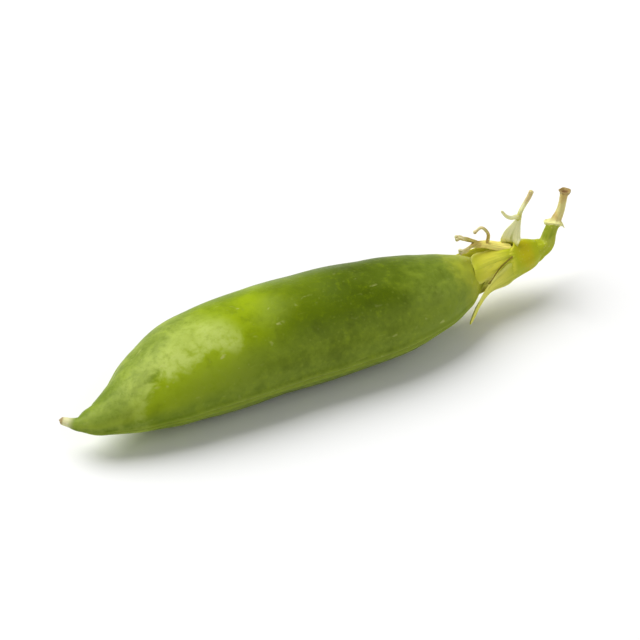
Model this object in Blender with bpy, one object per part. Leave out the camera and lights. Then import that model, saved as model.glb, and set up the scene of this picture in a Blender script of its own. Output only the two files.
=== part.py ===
"""A garden pea pod as picked: closed pod, calyx with five sepals, withered stamens and a short hooked stalk.

It lies on its broad side. The beak points to -X and the stalk to +X. The belly seam is on the -Y side and the
back rib on the +Y side, a little higher, because the pod leans towards its belly.
"""

import math

import bmesh
import bpy
import numpy as np
from mathutils import Vector

# The sizes below are in millimetres and turn into metres where points are made.
MM = 0.001

# Whole pod
LEAN = math.radians(12)  # the back rib is raised by this turn about the pod's length
FLAT_DEPTH = 0.34  # how far the underside is flattened where the pod rests

# Pod: distance from the beak tip, sideways place and height of the middle line, half width, half thickness
POD_STATIONS = (
    (0.0, 0.3, -1.5, 0.0, 0.0),
    (0.3, 0.05, -1.55, 0.48, 0.44),
    (1.0, -0.65, -1.6, 0.62, 0.56),
    (1.8, -1.45, -1.55, 0.95, 0.85),
    (2.8, -1.7, -1.5, 1.6, 1.3),
    (4.4, -1.98, -1.4, 2.24, 1.87),
    (7.8, -1.78, -1.1, 3.68, 3.1),
    (12.8, -0.85, -0.6, 5.77, 4.75),
    (18.5, 0.05, -0.2, 6.95, 5.8),
    (26.0, 0.1, 0.0, 7.27, 6.15),
    (34.0, -0.27, 0.0, 7.22, 6.05),
    (42.5, -1.0, 0.0, 6.7, 5.4),
    (48.0, -1.08, -0.05, 5.63, 4.5),
    (52.0, -0.73, -0.1, 4.22, 3.5),
    (54.5, -0.3, -0.15, 2.9, 2.6),
    (56.5, -0.05, -0.2, 1.65, 1.55),
    (58.0, 0.0, -0.2, 1.05, 1.05),
    (61.0, 0.0, -0.2, 0.95, 0.95),
    (61.6, 0.0, -0.2, 0.0, 0.0),
)
POD_SIDES = 28
POD_RINGS = 50
SEAM_CROWDING = 0.6  # how much closer the points lie near the two seams
END_CROWDING = 0.8  # how much closer the rings lie near the two ends
PINCH = 1.12  # above 1 the section narrows to an edge at the seams
BELLY_RIDGE = 0.3  # the belly seam is two ridges with a groove between them
BELLY_RIDGE_ANGLE = math.radians(5.2)
BACK_RIDGE = 0.22
RIDGE_SPREAD = math.radians(3.2)
RIDGE_FADE = 4.0  # ridges are full where the pod is at least this half width
PEA_PITCH = 8.2
FIRST_PEA = 13.5
LAST_PEA = 46.3
PEA_SWELL = 0.02  # share of the half thickness
PEA_FADE = 17.0

# Calyx cup: distance and radius, from the foot outside, over the rim, to the floor of the cup
CUP_PROFILE = (
    (64.6, 0.0),
    (64.6, 1.15),
    (64.1, 1.6),
    (63.2, 1.95),
    (61.8, 2.2),
    (60.4, 2.5),
    (59.2, 2.8),
    (58.4, 3.0),
    (58.1, 2.7),
    (58.5, 2.35),
    (59.8, 2.1),
    (61.2, 1.6),
    (62.1, 1.2),
    (62.3, 0.0),
)
CUP_SIDES = 24
CUP_NOTCH = 1.9  # the rim is torn back by this where the upright sepal bends away
CUP_NOTCH_DEGREES = 74
CUP_NOTCH_SPREAD = 24

# Sepals: degrees round the pod from the back rib, turn towards the tip, half width at the root, share of it
# left at the tip, power of the taper, slant of the tip, cupping and the degrees that the blade twists by
SEPALS = {
    "back": (345, 0, 1.5, 0.2, 1.5, 0, 0.25, 0),
    "upright": (68, 0, 1.5, 0.15, 1.0, 0, 0.3, 60),
    "broad": (115, 4, 0.95, 2.2, 1.3, 0.4, 0.4, 0),
    "hanging": (172, 28, 1.75, 0.2, 0.8, 0, 0.3, 0),
    "under": (262, 0, 1.6, 0.3, 1.5, 0, 0.25, 0),
}
# The line that each of them follows, as distance and radius
SPINES = {
    "back": ((60.4, 2.2), (58.8, 2.75), (57.4, 3.1), (56.2, 3.5), (55.2, 4.1)),
    "upright": ((62.3, 1.8), (61.2, 2.2), (61.1, 3.1), (61.8, 4.2), (62.6, 5.2)),
    "broad": ((60.2, 2.2), (58.4, 2.72), (56.9, 3.0), (55.8, 3.2), (54.8, 3.6)),
    "hanging": ((60.2, 2.2), (58.4, 2.75), (56.6, 3.1), (54.6, 4.2), (52.3, 5.8)),
    "under": ((60.2, 2.2), (58.2, 2.72), (56.0, 3.35), (54.0, 4.0), (52.4, 4.35)),
}
TWIST_END = 0.45  # share of the length by which the twist is complete
SEPAL_POINT = 0.8  # share of the length where the blade starts to round off to its tip
SEPAL_THICKNESS = 0.62
BLADE_SQUARENESS = 0.6  # below 1 the section is fuller than an ellipse

# Withered tips of the upright sepal, and the stamens: points as distance, radius and degrees
FORK = (
    ((62.4, 4.9, 68), (61.6, 5.3, 72), (60.7, 6.1, 76), (59.3, 8.2, 80)),
    ((62.4, 4.9, 68), (62.7, 5.8, 68), (63.4, 6.7, 68), (64.4, 8.2, 68)),
)
STRAP = (
    (60.3, 1.45, 69),
    (59.6, 1.75, 69),
    (58.7, 2.6, 69),
    (57.7, 3.45, 70),
    (56.6, 4.0, 70),
    (55.6, 4.35, 70),
)
STRAP_HALF_WIDTH = 0.7
STRAP_THICKNESS = 0.6
FILAMENTS = (
    ((56.6, 4.1, 71), (55.4, 4.85, 69), (54.6, 5.4, 67), (53.7, 5.6, 66)),
    ((56.4, 4.1, 74), (55.3, 4.25, 77), (54.4, 4.25, 79), (53.4, 4.5, 80)),
    ((57.8, 3.45, 73), (58.2, 4.75, 72), (57.4, 6.0, 72), (56.2, 5.8, 70)),
)
THREAD_RADIUS = 0.31

# Stalk: distance, sideways place and height from the foot of the calyx, radius. It bends up to a flared
# collar, and a dry, thinner stub stands on that.
STALK_STATIONS = (
    (64.9, 0.0, 0.1, 1.15),
    (65.35, 0.0, 0.18, 1.07),
    (65.75, 0.03, 0.38, 1.0),
    (66.05, 0.08, 0.7, 0.93),
    (66.27, 0.15, 1.15, 0.87),
    (66.45, 0.22, 1.65, 0.82),
    (66.62, 0.3, 2.15, 0.78),
    (66.8, 0.4, 2.7, 0.8),
    (67.0, 0.46, 3.1, 1.2),
    (67.25, 0.5, 3.4, 0.85),
    (67.5, 0.55, 3.75, 0.57),
    (67.95, 0.65, 4.55, 0.48),
    (68.35, 0.75, 5.5, 0.46),
    (68.65, 0.85, 6.45, 0.5),
    (68.85, 0.9, 6.95, 0.75),
)
COLLAR_HEIGHT = 3.1
COLLAR_DEPTH = 0.3  # how far above and below it the collar's two points reach
COLLAR_POINTS = 0.22  # share of the radius that they stand out by
COLLAR_TURN = math.radians(62)  # where the points are, round the stalk
COLLAR_DROOP = 0.25
STALK_SIDES = 15
STALK_RINGS = 30
STALK_RIBS = 5
RIB_RELIEF = 0.05  # share of the stalk's radius
CUT_HOLLOW = 0.25  # how far the middle of the cut end is sunk


def clear_scene():
    for obj in list(bpy.data.objects):
        bpy.data.objects.remove(obj, do_unlink=True)


def smooth_rows(rows, count):
    """`count` rows evenly spread along a table, on a smooth curve through its own rows."""
    table = np.array(rows, float)
    padded = np.vstack([2 * table[0] - table[1], table, 2 * table[-1] - table[-2]])
    found = []
    for place in np.linspace(0, len(table) - 1, count):
        row = min(int(place), len(table) - 2)
        f = place - row
        a, b, c, d = padded[row : row + 4]
        curve = (2 * a - 5 * b + 4 * c - d) * f**2 + (3 * b - a - 3 * c + d) * f**3
        found.append((2 * b + (c - a) * f + curve) / 2)
    return np.array(found)


def pod_at(distance):
    """Sideways place, height, half width and half thickness of the pod, on a curve that never overshoots."""
    table = np.array(POD_STATIONS)
    x = table[:, 0]
    span = np.diff(x)
    slope = np.diff(table[:, 1:], axis=0) / span[:, None]
    before, after = slope[:-1], slope[1:]
    same = before * after > 0
    bend = np.where(same, 2 * before * after / np.where(same, before + after, 1), 0)
    tangent = np.vstack([slope[:1], bend, slope[-1:]])
    row = int(np.clip(np.searchsorted(x, distance) - 1, 0, len(span) - 1))
    f = float(np.clip((distance - x[row]) / span[row], 0, 1))
    start = table[row, 1:] * (1 + 2 * f) + tangent[row] * span[row] * f
    end = table[row + 1, 1:] * (3 - 2 * f) + tangent[row + 1] * span[row] * (f - 1)
    return start * (1 - f) ** 2 + end * f**2


def round_the_pod(distance, radius, degrees):
    """A point at this distance from the beak, and this radius and angle about the pod's middle line."""
    turn = math.radians(degrees) + LEAN
    side, height = pod_at(distance)[:2]
    return Vector((distance, side + radius * math.cos(turn), height + radius * math.sin(turn)))


def sideways(degrees):
    """The direction round the pod at this angle."""
    turn = math.radians(degrees) + LEAN
    return Vector((0, -math.sin(turn), math.cos(turn)))


def bump(offset, spread):
    return math.exp(-((offset / spread) ** 2))


def mapped_ball(sides, rings, place):
    """A closed skin made from a ball. Each point goes to place(ring, angle), with rings from 0 to `rings`."""
    shape = bmesh.new()
    bmesh.ops.create_uvsphere(shape, u_segments=sides, v_segments=rings, radius=1)
    for vert in shape.verts:
        polar = math.acos(max(-1.0, min(1.0, vert.co.z)))
        ring = round(polar / math.pi * rings)
        vert.co = place(ring, math.atan2(vert.co.y, vert.co.x)) * MM
    if shape.calc_volume(signed=True) < 0:
        bmesh.ops.reverse_faces(shape, faces=shape.faces)
    return shape


def strip(rows, half_widths, thickness, sides, bow=0.0, squareness=1.0, slant=0.0, twist=0.0):
    """A closed strip or thread along rows of distance, radius and degrees, with its width round the pod."""
    points = [round_the_pod(*row) for row in rows]
    last = len(points) - 1

    def place(ring, angle):
        if ring in (0, last):
            return points[ring]
        along = (points[ring + 1] - points[ring - 1]).normalized()
        side = sideways(rows[ring][2])
        side = (side - along * side.dot(along)).normalized()
        turned = math.radians(twist) * min(1.0, ring / last / TWIST_END)
        side = side * math.cos(turned) + along.cross(side) * math.sin(turned)
        out = along.cross(side)
        c, s = math.cos(angle), math.sin(angle)
        wide = math.copysign(abs(c) ** squareness, c) * half_widths[ring]
        deep = math.copysign(abs(s) ** squareness, s) * thickness / 2
        bowed = bow * half_widths[ring] * abs(c) ** (2 * squareness)
        return points[ring] + (side + along * slant * ring / last) * wide + out * (deep - bowed)

    return mapped_ball(sides, last, place)


def thread(points):
    rows = smooth_rows(points, 11)
    return strip(rows, np.full(11, THREAD_RADIUS), 2 * THREAD_RADIUS, 6)


def add_object(name, shape, material=None):
    mesh = bpy.data.meshes.new(name)
    shape.to_mesh(mesh)
    shape.free()
    mesh.shade_smooth()
    if material:
        mesh.materials.append(material)
    obj = bpy.data.objects.new(name, mesh)
    bpy.context.scene.collection.objects.link(obj)
    return obj


def add_material(name, colour, roughness):
    material = bpy.data.materials.new(name)
    material.use_nodes = True
    shader = material.node_tree.nodes["Principled BSDF"]
    shader.inputs["Base Color"].default_value = (*colour, 1)
    shader.inputs["Roughness"].default_value = roughness
    return material


def fused(name, shapes, material):
    """One closed body made of overlapping shapes."""
    body = add_object(name, shapes[0], material)
    others = bpy.data.collections.new(name + " shapes")
    for number, shape in enumerate(shapes[1:]):
        other = add_object(f"{name} shape {number}", shape)
        bpy.context.scene.collection.objects.unlink(other)
        others.objects.link(other)
    union = body.modifiers.new("union", "BOOLEAN")
    union.operation = "UNION"
    union.operand_type = "COLLECTION"
    union.collection = others
    union.solver = "EXACT"
    graph = bpy.context.evaluated_depsgraph_get()
    mesh = bpy.data.meshes.new_from_object(body.evaluated_get(graph))
    body.modifiers.clear()
    body.data = mesh
    for other in list(others.objects):
        bpy.data.objects.remove(other, do_unlink=True)
    bpy.data.collections.remove(others)
    return body


def pod_point(ring, angle):
    """The pod's skin: ring 0 is the tip of the beak, angle 0 the back rib, half a turn the belly seam."""
    share = ring / POD_RINGS
    crowd = END_CROWDING * math.sin(2 * math.pi * share) / (2 * math.pi)
    distance = POD_STATIONS[-1][0] * (share - crowd)
    side, height, half_width, half_thickness = pod_at(distance)
    step = 0.2
    ahead = pod_at(distance + step) - pod_at(distance - step)
    along = Vector((2 * step, ahead[0], ahead[1])).normalized()
    turn = angle - SEAM_CROWDING / 2 * math.sin(2 * angle)
    c, s = math.cos(turn), math.sin(turn)

    peas = math.cos(2 * math.pi * (distance - FIRST_PEA) / PEA_PITCH)
    peas *= bump(distance - (FIRST_PEA + LAST_PEA) / 2, PEA_FADE)
    deep = half_thickness * (1 + PEA_SWELL * peas * s * s) * math.copysign(abs(s) ** PINCH, s)

    ridge = min(1.0, half_width / RIDGE_FADE)
    from_back = abs(math.atan2(s, c))
    from_belly = math.pi - from_back
    wide = half_width * c + ridge * BACK_RIDGE * bump(from_back, RIDGE_SPREAD)
    wide -= ridge * BELLY_RIDGE * bump(from_belly - BELLY_RIDGE_ANGLE, RIDGE_SPREAD)

    back = Vector((0, math.cos(LEAN), math.sin(LEAN)))
    back = (back - along * back.dot(along)).normalized()
    return Vector((distance, side, height)) + back * wide + along.cross(back) * deep


def build_pod(material):
    """The pod, with a small flat spot under it. The height of that spot is returned too."""
    shape = mapped_ball(POD_SIDES, POD_RINGS, pod_point)
    floor = min(vert.co.z for vert in shape.verts) + FLAT_DEPTH * MM
    cut = bmesh.ops.bisect_plane(
        shape,
        geom=shape.verts[:] + shape.edges[:] + shape.faces[:],
        plane_co=(0, 0, floor),
        plane_no=(0, 0, -1),
        clear_outer=True,
    )
    edges = [item for item in cut["geom_cut"] if isinstance(item, bmesh.types.BMEdge)]
    bmesh.ops.holes_fill(shape, edges=edges)
    bmesh.ops.recalc_face_normals(shape, faces=shape.faces)
    return add_object("pod", shape, material), floor


def cup_shape():
    def place(ring, angle):
        distance, radius = CUP_PROFILE[ring]
        degrees = math.degrees(angle) % 360
        near_rim = min(1.0, max(0.0, (61.5 - distance) / 3.0))
        torn = CUP_NOTCH * near_rim * bump(degrees - CUP_NOTCH_DEGREES, CUP_NOTCH_SPREAD)
        return round_the_pod(distance + torn, radius, degrees)

    return mapped_ball(CUP_SIDES, len(CUP_PROFILE) - 1, place)


def sepal_shape(name):
    degrees, turn, half_width, tip, taper, slant, cupping, twist = SEPALS[name]
    count = 15
    shares = np.linspace(0, 1, count)
    rows = np.column_stack([smooth_rows(SPINES[name], count), degrees + turn * shares])
    rounding = np.clip((shares - SEPAL_POINT) / (1 - SEPAL_POINT), 0, 1)
    half_widths = half_width * (1 - (1 - tip) * shares**taper) * np.sqrt(1 - rounding**2)
    return strip(rows, half_widths, SEPAL_THICKNESS, 10, cupping, BLADE_SQUARENESS, slant, twist)


def build_calyx(material):
    return fused("calyx", [cup_shape(), *map(sepal_shape, SEPALS), *map(thread, FORK)], material)


def stalk_point(ring, angle):
    """The stalk's skin. Ring 0 is the middle of its foot and the last ring the middle of its cut end."""
    rows = smooth_rows(STALK_STATIONS, STALK_RINGS - 1)
    last = len(rows) - 1
    row = min(max(ring - 1, 0), last)
    along = Vector((rows[min(row + 1, last)] - rows[max(row - 1, 0)])[:3]).normalized()
    across = Vector((0, 1, 0))
    across = (across - along * across.dot(along)).normalized()
    foot = pod_at(POD_STATIONS[-1][0])
    middle = Vector((rows[row][0], rows[row][1] + foot[0], rows[row][2] + foot[1]))
    if ring == 0:
        return middle
    if ring == STALK_RINGS:
        return middle - along * CUT_HOLLOW
    collar = bump(rows[row][2] - COLLAR_HEIGHT, COLLAR_DEPTH) * math.cos(2 * (angle - COLLAR_TURN))
    radius = rows[row][3] * (1 + RIB_RELIEF * math.cos(STALK_RIBS * angle) + COLLAR_POINTS * collar)
    middle -= along * COLLAR_DROOP * max(0.0, collar)
    return middle + (across * math.cos(angle) + along.cross(across) * math.sin(angle)) * radius


def build_stalk(material):
    return add_object("pedicel", mapped_ball(STALK_SIDES, STALK_RINGS, stalk_point), material)


def build_stamens(material):
    """A strap of grown-together filaments out of the mouth of the calyx, which splits into loose ones."""
    rows = smooth_rows(STRAP, 15)
    half_widths = STRAP_HALF_WIDTH * np.clip(np.linspace(4, 0.1, 15), 0, 1)
    strap = strip(rows, half_widths, STRAP_THICKNESS, 10, squareness=BLADE_SQUARENESS)
    return fused("stamens", [strap, *map(thread, FILAMENTS)], material)


def main():
    clear_scene()
    pod, floor = build_pod(add_material("pod skin", (0.13, 0.25, 0.02), 0.4))
    calyx = build_calyx(add_material("calyx skin", (0.45, 0.5, 0.1), 0.5))
    stalk = build_stalk(add_material("pedicel skin", (0.4, 0.45, 0.06), 0.5))
    stamens = build_stamens(add_material("withered stamens", (0.5, 0.36, 0.14), 0.8))

    # All pieces share one frame, whose origin goes under the middle of the whole, on the surface it lies on.
    pieces = (pod, calyx, stalk, stamens)
    corners = np.array([vert.co for piece in pieces for vert in piece.data.vertices])
    middle = (corners.min(axis=0) + corners.max(axis=0)) / 2
    for piece in pieces:
        piece.location = (-middle[0], -middle[1], -floor)


main()
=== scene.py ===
"""Looks of a garden pea pod as picked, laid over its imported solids.

Each section is one piece: the pod, the calyx, the stamens and the stalk, and then the table and the light.
Sizes are in millimetres until a point is made. Distance runs from the tip of the beak to the stalk, and
degrees run round the pod from its back rib, over the top at 90, to the belly seam at 180.
"""

import functools
import math

import bmesh
import bpy
import numpy as np
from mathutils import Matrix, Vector, kdtree, noise


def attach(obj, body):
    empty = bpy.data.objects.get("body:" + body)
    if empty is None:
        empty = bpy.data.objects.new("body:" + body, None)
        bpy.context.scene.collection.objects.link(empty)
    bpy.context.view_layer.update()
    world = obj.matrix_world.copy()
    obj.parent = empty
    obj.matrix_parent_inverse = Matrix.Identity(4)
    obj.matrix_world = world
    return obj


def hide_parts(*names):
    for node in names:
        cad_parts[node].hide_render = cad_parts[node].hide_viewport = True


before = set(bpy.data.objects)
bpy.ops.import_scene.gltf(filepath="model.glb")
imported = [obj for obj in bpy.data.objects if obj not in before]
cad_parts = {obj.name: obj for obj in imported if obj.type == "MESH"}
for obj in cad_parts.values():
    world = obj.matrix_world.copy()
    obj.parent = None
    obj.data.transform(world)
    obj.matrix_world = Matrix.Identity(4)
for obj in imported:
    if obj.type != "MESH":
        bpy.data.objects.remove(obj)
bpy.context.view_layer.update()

# Pod. The closed fruit: two fleshy green valves grown together along a double belly seam and a single back
# rib. The skin is smooth and waxy, dulled by a grey bloom where nothing has rubbed it, and it ends in a
# hooked beak that carries the withered nub of the style. Its colour also holds a painted highlight on the
# upper front and a painted reflection along the belly side.
MM = 0.001
SHIFT = Vector((-34.74186, 0.25413, 5.82351))  # from the beak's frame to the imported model's
LEAN = math.radians(12)  # the back rib is raised by this turn about the pod's length
# Distance from the beak's tip, sideways place and height of the middle, half width and half thickness
POD_STATIONS = np.array(
    (
        (0.0, 0.3, -1.5, 0.0, 0.0),
        (0.3, 0.05, -1.55, 0.48, 0.44),
        (1.0, -0.65, -1.6, 0.62, 0.56),
        (1.8, -1.45, -1.55, 0.95, 0.85),
        (2.8, -1.7, -1.5, 1.6, 1.3),
        (4.4, -1.98, -1.4, 2.24, 1.87),
        (7.8, -1.78, -1.1, 3.68, 3.1),
        (12.8, -0.85, -0.6, 5.77, 4.75),
        (18.5, 0.05, -0.2, 6.95, 5.8),
        (26.0, 0.1, 0.0, 7.27, 6.15),
        (34.0, -0.27, 0.0, 7.22, 6.05),
        (42.5, -1.0, 0.0, 6.7, 5.4),
        (48.0, -1.08, -0.05, 5.63, 4.5),
        (52.0, -0.73, -0.1, 4.22, 3.5),
        (54.5, -0.3, -0.15, 2.9, 2.6),
        (56.5, -0.05, -0.2, 1.65, 1.55),
        (58.0, 0.0, -0.2, 1.05, 1.05),
        (61.0, 0.0, -0.2, 0.95, 0.95),
        (61.6, 0.0, -0.2, 0.0, 0.0),
    )
)
POD_SIDES = 168
POD_RINGS = 340
SEAM_CROWDING = 0.6  # how much closer together the points stand at the seams
END_CROWDING = 0.8  # and how much closer the rings stand at the two ends
PINCH = 1.12  # above 1 the valves meet in an edge at the seams
BELLY_RIDGE = 0.24
BELLY_RIDGE_ANGLE = math.radians(5.2)  # of each of the two ridges from the middle of the belly seam
BACK_RIDGE = 0.22
RIDGE_SPREAD = math.radians(3.2)
RIDGE_FADE = 4.0  # the half width below which the ridges sink into the beak and the neck
SEAM_FURROW = 0.03
FURROW_ANGLE = math.radians(13)
FURROW_SPREAD = math.radians(5)
PEA_PITCH = 8.2
FIRST_PEA = 13.5
LAST_PEA = 46.3
PEA_SWELL = 0.024
PEA_FADE = 17.0
VALVE_UNEVEN = 0.11
VALVE_WAVE = 6.0
SKIN_UNEVEN = 0.02
SKIN_WAVE = 1.8
SLOPE_STEP = 0.2
TABLE_SOFTNESS = 0.1


def pod_tangents():
    """Slopes of the pod's curves at its stations, chosen so that they never overshoot."""
    slope = np.diff(POD_STATIONS[:, 1:], axis=0) / np.diff(POD_STATIONS[:, 0])[:, None]
    before, after = slope[:-1], slope[1:]
    same = before * after > 0
    bend = np.where(same, 2 * before * after / np.where(same, before + after, 1), 0)
    return np.vstack([slope[:1], bend, slope[-1:]])


POD_TANGENTS = pod_tangents()


@functools.lru_cache(maxsize=None)
def pod_at(distance):
    """Sideways place, height, half width and half thickness of the pod."""
    x = POD_STATIONS[:, 0]
    row = int(np.clip(np.searchsorted(x, distance) - 1, 0, len(x) - 2))
    span = x[row + 1] - x[row]
    f = float(np.clip((distance - x[row]) / span, 0, 1))
    start = POD_STATIONS[row, 1:] * (1 + 2 * f) + POD_TANGENTS[row] * span * f
    end = POD_STATIONS[row + 1, 1:] * (3 - 2 * f) + POD_TANGENTS[row + 1] * span * (f - 1)
    return start * (1 - f) ** 2 + end * f**2


def bump(offset, spread):
    """1 at no offset, and falling softly to 0 over about twice the spread."""
    return math.exp(-((offset / spread) ** 2))


def to_model(point):
    """From millimetres in the beak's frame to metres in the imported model's."""
    return (point + SHIFT) * MM


def mapped_ball(sides, rings, place):
    """A closed skin made from a ball. place(ring, angle) gives each point and the three marks kept with it.

    The marks go into the layer "place", which the materials read.
    """
    shape = bmesh.new()
    bmesh.ops.create_uvsphere(shape, u_segments=sides, v_segments=rings, radius=1)
    marks = shape.verts.layers.float_vector.new("place")
    for vert in shape.verts:
        polar = math.acos(max(-1.0, min(1.0, vert.co.z)))
        ring = round(polar / math.pi * rings)
        point, mark = place(ring, math.atan2(vert.co.y, vert.co.x))
        vert.co = to_model(point)
        vert[marks] = mark
    if shape.calc_volume(signed=True) < 0:
        bmesh.ops.reverse_faces(shape, faces=shape.faces)
    return shape


@functools.lru_cache(maxsize=None)
def pod_ring(ring):
    """Distance, middle, directions along, to the back and up, half width and half thickness of a ring."""
    share = ring / POD_RINGS
    crowd = END_CROWDING * math.sin(2 * math.pi * share) / (2 * math.pi)
    distance = float(POD_STATIONS[-1, 0]) * (share - crowd)
    side, height, half_width, half_thickness = pod_at(distance)
    middle = Vector((distance, side, height))
    ahead = pod_at(distance + SLOPE_STEP) - pod_at(distance - SLOPE_STEP)
    along = Vector((2 * SLOPE_STEP, ahead[0], ahead[1])).normalized()
    back = Vector((0, math.cos(LEAN), math.sin(LEAN)))
    back = (back - along * back.dot(along)).normalized()
    return distance, middle, along, back, along.cross(back), half_width, half_thickness


def rest_on_table(point):
    """The underside gives softly where it meets the table."""
    height = point.z + SHIFT.z
    point.z = (height + math.hypot(height, TABLE_SOFTNESS)) / 2 - SHIFT.z
    return point


def pod_skin(ring, angle):
    """A point of the skin, marked with its distance and how far it faces the back rib and the top."""
    distance, middle, along, back, up, half_width, half_thickness = pod_ring(ring)
    turn = angle - SEAM_CROWDING / 2 * math.sin(2 * angle)
    c, s = math.cos(turn), math.sin(turn)

    peas = math.cos(2 * math.pi * (distance - FIRST_PEA) / PEA_PITCH)
    peas *= bump(distance - (FIRST_PEA + LAST_PEA) / 2, PEA_FADE)
    deep = half_thickness * (1 + PEA_SWELL * peas * s * s) * math.copysign(abs(s) ** PINCH, s)

    full = min(1.0, half_width / RIDGE_FADE)
    from_back = abs(math.atan2(s, c))
    from_belly = math.pi - from_back
    wide = half_width * c + full * BACK_RIDGE * bump(from_back, RIDGE_SPREAD)
    wide -= full * BELLY_RIDGE * bump(from_belly - BELLY_RIDGE_ANGLE, RIDGE_SPREAD)

    uneven = VALVE_UNEVEN * noise.noise(Vector((distance / VALVE_WAVE, 2.1 * c, 2.1 * s)))
    uneven += SKIN_UNEVEN * noise.noise(Vector((distance / SKIN_WAVE, 6 * c, 6 * s + 9)))
    furrow = bump(from_back - FURROW_ANGLE, FURROW_SPREAD)
    furrow += bump(from_belly - FURROW_ANGLE, FURROW_SPREAD)
    lift = full * (uneven - SEAM_FURROW * furrow)
    point = middle + back * (wide + c * lift) + up * (deep + s * lift)
    return rest_on_table(point), (distance, c, s)


def add_object(name, shape, material):
    """A smooth-shaded piece made of this shape, with its place in its points."""
    mesh = bpy.data.meshes.new(name)
    shape.to_mesh(mesh)
    shape.free()
    mesh.shade_smooth()
    mesh.materials.append(material)
    obj = bpy.data.objects.new(name, mesh)
    bpy.context.scene.collection.objects.link(obj)
    return obj


def add_node(tree, kind, inputs=None, **settings):
    """A node with its settings, whose inputs are values or come from the outputs of other nodes."""
    made = tree.nodes.new("ShaderNode" + kind)
    for name, value in settings.items():
        setattr(made, name, value)
    for name, value in (inputs or {}).items():
        if isinstance(value, bpy.types.NodeSocket):
            tree.links.new(value, made.inputs[name])
        else:
            made.inputs[name].default_value = value
    return made


def maths(tree, operation, first, second=0.0, clamp=False):
    """The result of one sum on two values or outputs."""
    made = add_node(tree, "Math", {0: first, 1: second}, operation=operation, use_clamp=clamp)
    return made.outputs[0]


def ramp(tree, value, low, high, start=0.0, end=1.0):
    """Goes smoothly from start, at or before low, to end, at or after high."""
    inputs = {"Value": value, "From Min": low, "From Max": high, "To Min": start, "To Max": end}
    return add_node(tree, "MapRange", inputs, interpolation_type="SMOOTHSTEP").outputs[0]


def mix(tree, share, first, second):
    """The first colour where the share is 0, and the second where it is 1."""
    return add_node(tree, "Mix", {0: share, 6: first, 7: second}, data_type="RGBA").outputs[2]


def scaled(tree, vector, scale):
    """The vector stretched by three factors."""
    return add_node(tree, "VectorMath", {0: vector, 1: scale}, operation="MULTIPLY").outputs[0]


def mottle(tree, vector, scale, detail=2.0, roughness=0.5, distortion=0.0):
    """Cloudy mottling about 0.5, with this many spots in a metre."""
    inputs = {"Vector": vector, "Scale": scale, "Detail": detail}
    inputs |= {"Roughness": roughness, "Distortion": distortion}
    return add_node(tree, "TexNoise", inputs).outputs[0]


def group_socket(tree, name, kind, value=None, output=False):
    """An input of a node group with its usual value, or an output."""
    in_out = "OUTPUT" if output else "INPUT"
    made = tree.interface.new_socket(name, in_out=in_out, socket_type="NodeSocket" + kind)
    if value is not None:
        made.default_value = value


def fine_skin_group():
    """Plant skin seen close up: pale pores, fine grain and short scratches, as masks and a height."""
    tree = bpy.data.node_groups.new("fine plant skin", "ShaderNodeTree")
    group_socket(tree, "Place", "Vector")
    group_socket(tree, "Pore Scale", "Float", 1600.0)
    group_socket(tree, "Grain Scale", "Float", 2600.0)
    group_socket(tree, "Pores", "Float", output=True)
    group_socket(tree, "Grain", "Float", output=True)
    group_socket(tree, "Scratches", "Float", output=True)
    group_socket(tree, "Height", "Float", output=True)
    into, out = tree.nodes.new("NodeGroupInput"), tree.nodes.new("NodeGroupOutput")
    place = into.outputs["Place"]
    spacing = {"Vector": place, "Scale": into.outputs["Pore Scale"], "Randomness": 0.9}
    cells = add_node(tree, "TexVoronoi", spacing)
    pores = ramp(tree, cells.outputs["Distance"], 0.1, 0.3, 1.0, 0.0)
    pores = maths(tree, "MULTIPLY", pores, ramp(tree, mottle(tree, place, 420.0, 1.0), 0.42, 0.62))
    grain = mottle(tree, place, into.outputs["Grain Scale"], 3.0, 0.6)
    streaks = {"Vector": place, "Rotation": (0.5, 0.3, 0.9), "Scale": (260.0, 5200.0, 900.0)}
    scratches = mottle(tree, add_node(tree, "Mapping", streaks).outputs[0], 1.0, 1.0)
    scuffed = ramp(tree, mottle(tree, place, 150.0), 0.5, 0.62)
    scratches = maths(tree, "MULTIPLY", ramp(tree, scratches, 0.66, 0.74), scuffed)
    height = maths(tree, "MULTIPLY", grain, 0.5)
    height = maths(tree, "SUBTRACT", height, maths(tree, "MULTIPLY", pores, 0.25))
    height = maths(tree, "SUBTRACT", height, maths(tree, "MULTIPLY", scratches, 0.35))
    for name, value in (("Pores", pores), ("Grain", grain), ("Scratches", scratches), ("Height", height)):
        tree.links.new(value, out.inputs[name])
    return tree


FINE_SKIN = fine_skin_group()


def fine_skin(tree, place, pore_scale, grain_scale):
    """The outputs of the fine skin group, placed in a material with its own scales."""
    made = add_node(tree, "Group", node_tree=FINE_SKIN)
    tree.links.new(place, made.inputs["Place"])
    made.inputs["Pore Scale"].default_value = pore_scale
    made.inputs["Grain Scale"].default_value = grain_scale
    return made.outputs


def new_material(name, settings):
    """A material, its node tree and its shader, which gets the values that are the same all over."""
    material = bpy.data.materials.new(name)
    material.use_nodes = True
    shader = material.node_tree.nodes["Principled BSDF"]
    for socket, value in settings.items():
        shader.inputs[socket].default_value = value
    return material, material.node_tree, shader


def finish_material(tree, shader, colour, roughness, height, depth):
    """Joins the colour, the roughness and a height, in metres at full strength, to the shader."""
    tree.links.new(colour, shader.inputs["Base Color"])
    tree.links.new(roughness, shader.inputs["Roughness"])
    raised = add_node(tree, "Bump", {"Height": height, "Strength": 1.0, "Distance": depth})
    tree.links.new(raised.outputs[0], shader.inputs["Normal"])


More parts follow.
